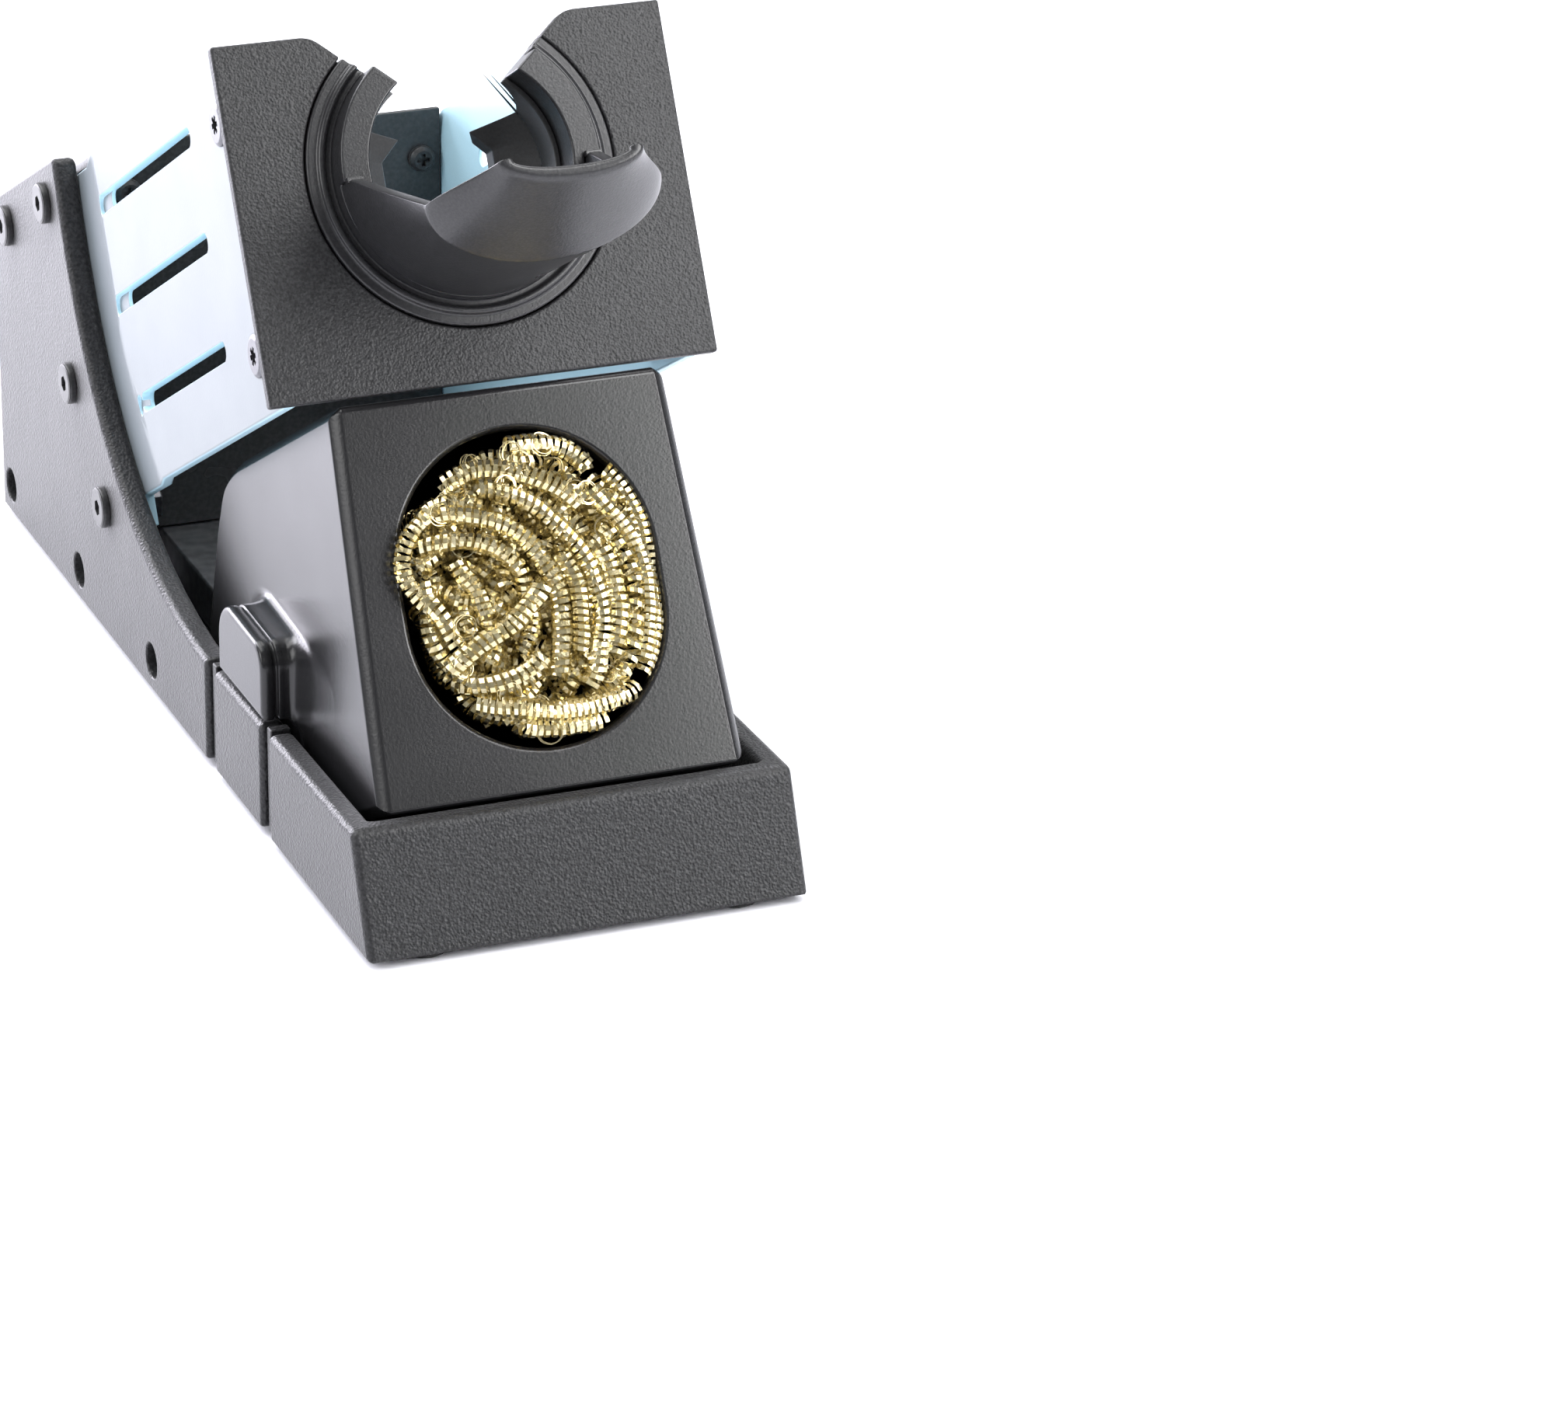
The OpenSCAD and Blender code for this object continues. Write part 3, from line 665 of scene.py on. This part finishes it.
# The coils that lie on top, as (across, up) from the middle of the mouth; the last ones cross over the others
TOP_COILS = [
    ((-9.4, 18.9), (-2.8, 17.9), (4.5, 13.3), (9.6, 7.1), (11, -1.2), (9.9, -11), (8, -18.7), (4.3, -21)),
    ((11.6, 15.8), (15.9, 11.1), (19.8, 3.5), (20.8, -4.6), (19.4, -12.4), (16.4, -18)),
    ((15.8, 19.1), (20.7, 11.4), (23.4, 1.9), (23.6, -6.2), (22.4, -14), (19.2, -19)),
    ((-2.7, 26.9), (4, 26.4), (9.5, 23.6), (13.9, 19.4)),
    ((-15.3, 18.8), (-10.9, 23.1), (-5, 23.8), (0.6, 21.4), (5.8, 16.6), (9.2, 12.1)),
    ((-17.7, 15.2), (-11.8, 15.8), (-5.3, 12.8), (-0.1, 7.5), (3, 1), (3.7, -6.1), (2.4, -12.9), (-1.2, -18.3)),
    ((-20.5, 9), (-16.3, 10.4), (-10.4, 10.6), (-5, 6.7), (-2.3, 0.8), (-1.6, -5.3), (-3.2, -11), (-7.6, -15.4)),
    ((-22, 5.5), (-19.8, 0.4), (-18.6, -4.8), (-17.6, -10), (-15, -14)),
    ((-15.6, 7.2), (-12.6, 2.6), (-10.6, -3), (-10.6, -9), (-12.6, -14.5)),
    ((-14.9, -19.3), (-9.4, -22.1), (-2.7, -23.4), (4.2, -23.6), (10.4, -22.4), (15, -19)),
    ((13.4, 6.5), (14.4, -1.6), (13.6, -10.4), (11.2, -17.1)),
    ((5.8, 5), (7, -1), (6.6, -8), (5.2, -14.5)),
    ((-9, -26), (-3, -27.6), (4, -27.4), (10, -25.6)),
]
STRETCHED = ((15.6, 9), (17.5, 0), (17, -8), (14.8, -14.7), (11.7, -20.3))
# Hangs over the mouth's left rim
OVERHANG = ((-18, 15.6), (-22, 12.6), (-24.4, 8.6), (-24.5, 4.6), (-22.4, 0.6), (-19.6, -2.4))
CROSSING = [
    ((-18.4, -12.8), (-12.9, -10.6), (-7.7, -7.3), (-1.4, -3.3), (1.4, 1)),
    ((-16.4, -15.4), (-11.8, -17.7), (-5.8, -16.4), (-0.5, -12.4)),
]


def on_face(path):
    """A path about the middle of the mouth, as points in the row frame."""
    return [face(p[0], p[1] + MOUTH_V, p[2]) for p in path]


def through(points, step):
    """A smooth line through the points, in even steps."""
    pts = [points[0], *points, points[-1]]
    fine = []
    for i in range(1, len(pts) - 2):
        a, b, c, d = (Vector(p) for p in pts[i - 1:i + 3])
        for k in range(24):
            t = k / 24
            fine.append(0.5 * (2 * b + (c - a) * t + (2 * a - 5 * b + 4 * c - d) * t * t
                               + (3 * b - a - 3 * c + d) * t ** 3))
    fine.append(Vector(points[-1]))
    out, gone = [fine[0]], 0.0
    for a, b in zip(fine, fine[1:]):
        gone += (b - a).length
        if gone >= step:
            out.append(b)
            gone = 0.0
    return out


def stray_path(rng):
    """A wandering centre line that follows the swirl and stays inside the mouth."""
    while True:
        x, q = rng.uniform(-22, 22), rng.uniform(-27, 27)
        if dome(x, q)[1] < 0.9:
            break
    heading = math.atan2(x, -q) + rng.choice((0, math.pi)) + rng.gauss(0, 0.5)
    curl = rng.gauss(0, 0.09)
    out = []
    for _ in range(int(rng.uniform(8, 22))):
        out.append(Vector((x, q, 0)))
        if dome(x, q)[1] > 0.84:
            turn = (math.atan2(-q, -x) - heading + math.pi) % (2 * math.pi) - math.pi
            heading += 0.5 * turn
        heading += curl + rng.gauss(0, 0.1)
        x += 2 * math.cos(heading)
        q += 2 * math.sin(heading)
        if dome(x, q)[1] > 0.97:
            break
    return out


# Share of the mouth that the coils fill: they touch its right rim and leave a gap at the left
REACH_RIGHT, REACH_LEFT = 0.94, 0.88


def spread(paths, tops, rounds=26, apart=4.0):
    """Pushes the coils apart until they lie beside and over one another."""
    for _ in range(rounds):
        cells = {}
        for i, path in enumerate(paths):
            for j, p in enumerate(path):
                cells.setdefault(tuple(int(math.floor(c / 4)) for c in p), []).append((i, j))
        shift = [[Vector((0, 0, 0)) for _ in path] for path in paths]
        for (cx, cy, cz), members in cells.items():
            near = [m for dx in (-1, 0, 1) for dy in (-1, 0, 1) for dz in (-1, 0, 1)
                    for m in cells.get((cx + dx, cy + dy, cz + dz), ())]
            for i, j in members:
                p = paths[i][j]
                for k, l in near:
                    if k < i or (k == i and l < j + 4):
                        continue
                    gap = p - paths[k][l]
                    d = gap.length
                    if 1e-6 < d < apart:
                        push = gap * ((apart - d) / d * 0.24)
                        shift[i][j] += push
                        shift[k][l] -= push
        for i, path in enumerate(paths):
            loose = 0.5 if tops[i] else 1.0
            for j, p in enumerate(path):
                move = shift[i][j]
                if move.length > 1.2:
                    move *= 1.2 / move.length
                path[j] = p + Vector((move[0] * loose, move[1] * loose, move[2]))
            for j in range(1, len(path) - 1):
                path[j] = path[j].lerp((path[j - 1] + path[j + 1]) / 2, 0.3)
            for p in path:
                h, d = dome(p[0], p[1])
                limit = REACH_RIGHT if p[0] > 4 else REACH_LEFT
                if d > limit:
                    p[0] *= limit / d
                    p[1] = math.copysign(5 + (abs(p[1]) - 5) * limit / d, p[1]) if abs(p[1]) > 5 else p[1]
                ceiling = h - COIL + tops[i]
                p[2] = min(p[2], ceiling)
                p[2] = max(p[2], ceiling - 1.3 if tops[i] else -16)


def wool():
    rng = random.Random(11)
    paths, tops, stretched = [], [], []

    def lay(points, sink, top, open_turns=False):
        line = through(points, 2.0)
        path = [Vector((p[0], p[1], dome(p[0], p[1])[0] - COIL - sink)) for p in line]
        if len(path) > 3:
            paths.append(path)
            tops.append(top)
            stretched.append(open_turns)

    for points in TOP_COILS:
        lay([(a, b, 0) for a, b in points], 0.4, 0.01)
    lay([(a, b, 0) for a, b in STRETCHED], 0.2, 0.3, True)
    for points in CROSSING:
        lay([(a, b, 0) for a, b in points], -1.2, 1.3)
    for sink, count in ((3.6, 25), (7.0, 22), (10.4, 16)):
        for _ in range(count):
            path = stray_path(rng)
            if len(path) > 3:
                lay(path, sink + rng.uniform(-0.5, 0.5), 0, rng.random() < 0.1)
    spread(paths, tops)
    line = through([(a, b, 0) for a, b in OVERHANG], 2.0)
    paths.append([Vector((p[0], p[1], max(2.15, dome(p[0], p[1])[0] - COIL))) for p in line])
    tops.append(0)
    stretched.append(False)
    verts, faces = [], []
    for path, top, open_turns in zip(paths, tops, stretched):
        ribbon(rng, on_face(through(path, 0.6)), verts, faces, open_turns)
    loose_hairs(rng, verts, faces)
    mesh = bpy.data.meshes.new("ribbon_wool")
    mesh.from_pydata(verts, [], faces)
    mesh.update()
    obj = add_object("ribbon_wool", mesh)
    return dress(obj, "wool", "wool", M_BRASS, "brass_wool")


def loose_hairs(rng, verts, faces):
    """Thin loose loops that face out of the mouth, most of them near the rim."""
    for _ in range(34):
        q = rng.uniform(0, 2 * math.pi)
        reach = rng.uniform(0.55, 0.9)
        x, v = WOOL_R * reach * math.cos(q), math.copysign(5, math.sin(q)) + WOOL_R * reach * math.sin(q)
        start = Vector((x, v, dome(x, v)[0] - rng.uniform(1.6, 3.0)))
        lean = Vector((rng.gauss(0, 0.25), rng.gauss(0, 0.25), 1)) * 0.35
        line = [start + lean * k for k in range(int(rng.uniform(4, 7)))]
        strand(rng, on_face(line), rng.uniform(1.5, 2.4), rng.uniform(0.5, 0.9), 0.16, 22, verts, faces)


def ribbon(rng, line, verts, faces, open_turns):
    """One coil of flat ribbon along a centre line."""
    pitch = rng.uniform(2.3, 2.6) if open_turns else rng.uniform(1.28, 1.55)
    width = rng.uniform(0.75, 0.85) if open_turns else pitch * rng.uniform(0.54, 0.66)
    strand(rng, line, rng.uniform(1.68, 1.95), pitch, width, rng.choice((10, 12, 13)), verts, faces)


def strand(rng, line, radius, pitch, width, facets, verts, faces):
    """A closed flat strip coiled along a centre line: sizes in millimetres, facets to a turn."""
    lengths = [0.0]
    for a, b in zip(line, line[1:]):
        lengths.append(lengths[-1] + (b - a).length)
    total = lengths[-1]
    radius, pitch, width, thick = radius * MM, pitch * MM, width * MM, 0.10 * MM
    steps = max(8, int(total / pitch * facets))
    spin = rng.uniform(0, 6.28)
    hand = rng.choice((-1, 1))
    tangent = (line[1] - line[0]).normalized()
    across = tangent.orthogonal().normalized()
    index, first = 0, len(verts)
    for i in range(steps + 1):
        s = total * i / steps
        while index < len(lengths) - 2 and lengths[index + 1] < s:
            index += 1
        t = (s - lengths[index]) / max(1e-9, lengths[index + 1] - lengths[index])
        at = line[index].lerp(line[index + 1], t)
        before = line[index] - line[max(0, index - 1)] if index else line[1] - line[0]
        after = line[index + 1] - line[index]
        tangent = before.lerp(after, t).normalized() if before.length > 0 else after.normalized()
        across = (across - tangent * across.dot(tangent)).normalized()
        third = tangent.cross(across)
        q = spin + hand * 2 * math.pi * i / facets
        swell = 1 + 0.05 * math.sin(i * 0.11 + spin) + rng.gauss(0, 0.012)
        radial = across * math.cos(q) + third * math.sin(q)
        middle = at + radial * (radius * swell)
        lean = tangent + radial * rng.gauss(0, 0.05)
        for along, outwards in ((-1, -1), (1, -1), (1, 1), (-1, 1)):
            verts.append(tuple(middle + lean * (along * width / 2) + radial * (outwards * thick / 2)))
    for i in range(steps):
        a, b = first + i * 4, first + i * 4 + 4
        for j in range(4):
            k = (j + 1) % 4
            faces.append((a + j, a + k, b + k, b + j) if hand > 0 else (a + j, b + j, b + k, a + k))
    last = first + steps * 4
    faces.append((first, first + 3, first + 2, first + 1) if hand > 0 else (first, first + 1, first + 2, first + 3))
    faces.append((last, last + 1, last + 2, last + 3) if hand > 0 else (last, last + 3, last + 2, last + 1))


wool()

# ---------------------------------------------------------------- floor, light, camera
floor_mesh = bpy.data.meshes.new("floor")
floor_mesh.from_pydata([(-6, -6, 0), (6, -6, 0), (6, 8, 0), (-6, 8, 0)], [], [(0, 1, 2, 3)])
floor = add_object("floor", floor_mesh)
m_floor, _, floor_shader = material("pale_floor")
floor_shader.inputs["Base Color"].default_value = (0.90, 0.90, 0.95, 1)
floor_shader.inputs["Roughness"].default_value = 0.6
floor_mesh.materials.append(m_floor)


def area(name, at, target, size, power, colour=(1, 1, 1), size_y=None):
    lamp = bpy.data.lights.new(name, "AREA")
    lamp.shape = "RECTANGLE"
    lamp.size = size
    lamp.size_y = size_y or size
    lamp.energy = power
    lamp.color = colour
    obj = bpy.data.objects.new(name, lamp)
    obj.location = at
    obj.rotation_euler = (Vector(target) - Vector(at)).to_track_quat("-Z", "Y").to_euler()
    bpy.context.scene.collection.objects.link(obj)
    return obj


area("overhead", (-0.15, 0.35, 1.5), (0, 0, 0), 1.3, 24)
area("left_key", (-1.3, -0.15, 0.75), (0, 0, 0.08), 0.8, 8.5)
area("back_floor", (-0.75, 1.1, 1.1), (-0.45, 0.75, 0), 0.7, 20, (0.93, 0.94, 1.0))
area("right_floor", (0.8, 0.7, 0.9), (0.4, 0.45, 0), 0.5, 7, (0.95, 0.95, 1.0))
area("back_left_card", (-0.31, 0.62, 0.19), (-0.04, 0.05, 0.05), 0.45, 6.5, (0.92, 0.90, 1.0), 0.3)
area("front_fill", (-0.5, -1.6, 1.2), (0, 0, 0.05), 0.7, 1.1)
area("right_card", (0.46, -0.58, 0.36), (0.03, -0.06, 0.09), 0.35, 4.4)
area("upper_card", (0.25, -0.32, 0.52), (0.02, -0.06, 0.13), 0.2, 1.5)

world = bpy.data.worlds.new("studio")
world.use_nodes = True
world.node_tree.nodes["Background"].inputs["Color"].default_value = (0.95, 0.97, 1.0, 1)
world.node_tree.nodes["Background"].inputs["Strength"].default_value = 0.28
bpy.context.scene.world = world
bpy.context.scene.view_settings.view_transform = "Standard"

CAMERA_AT = (-0.3716, -1.1148, 0.5055)
YAW, PITCH, ROLL = math.radians(22.382), math.radians(23.418), math.radians(0.778)
back = Vector((-math.sin(YAW) * math.cos(PITCH), -math.cos(YAW) * math.cos(PITCH), math.sin(PITCH)))
right = Vector((math.cos(YAW), -math.sin(YAW), 0))
above = back.cross(right)
cam_right = right * math.cos(ROLL) + above * math.sin(ROLL)
cam_up = above * math.cos(ROLL) - right * math.sin(ROLL)
camera_data = bpy.data.cameras.new("camera")
camera_data.sensor_width = 36.0
camera_data.lens = 147.0
camera = bpy.data.objects.new("camera", camera_data)
bpy.context.scene.collection.objects.link(camera)
rows = [(cam_right[i], cam_up[i], back[i], CAMERA_AT[i]) for i in range(3)]
camera.matrix_world = Matrix([*rows, (0, 0, 0, 1)])
bpy.context.scene.camera = camera

bpy.context.view_layer.update()
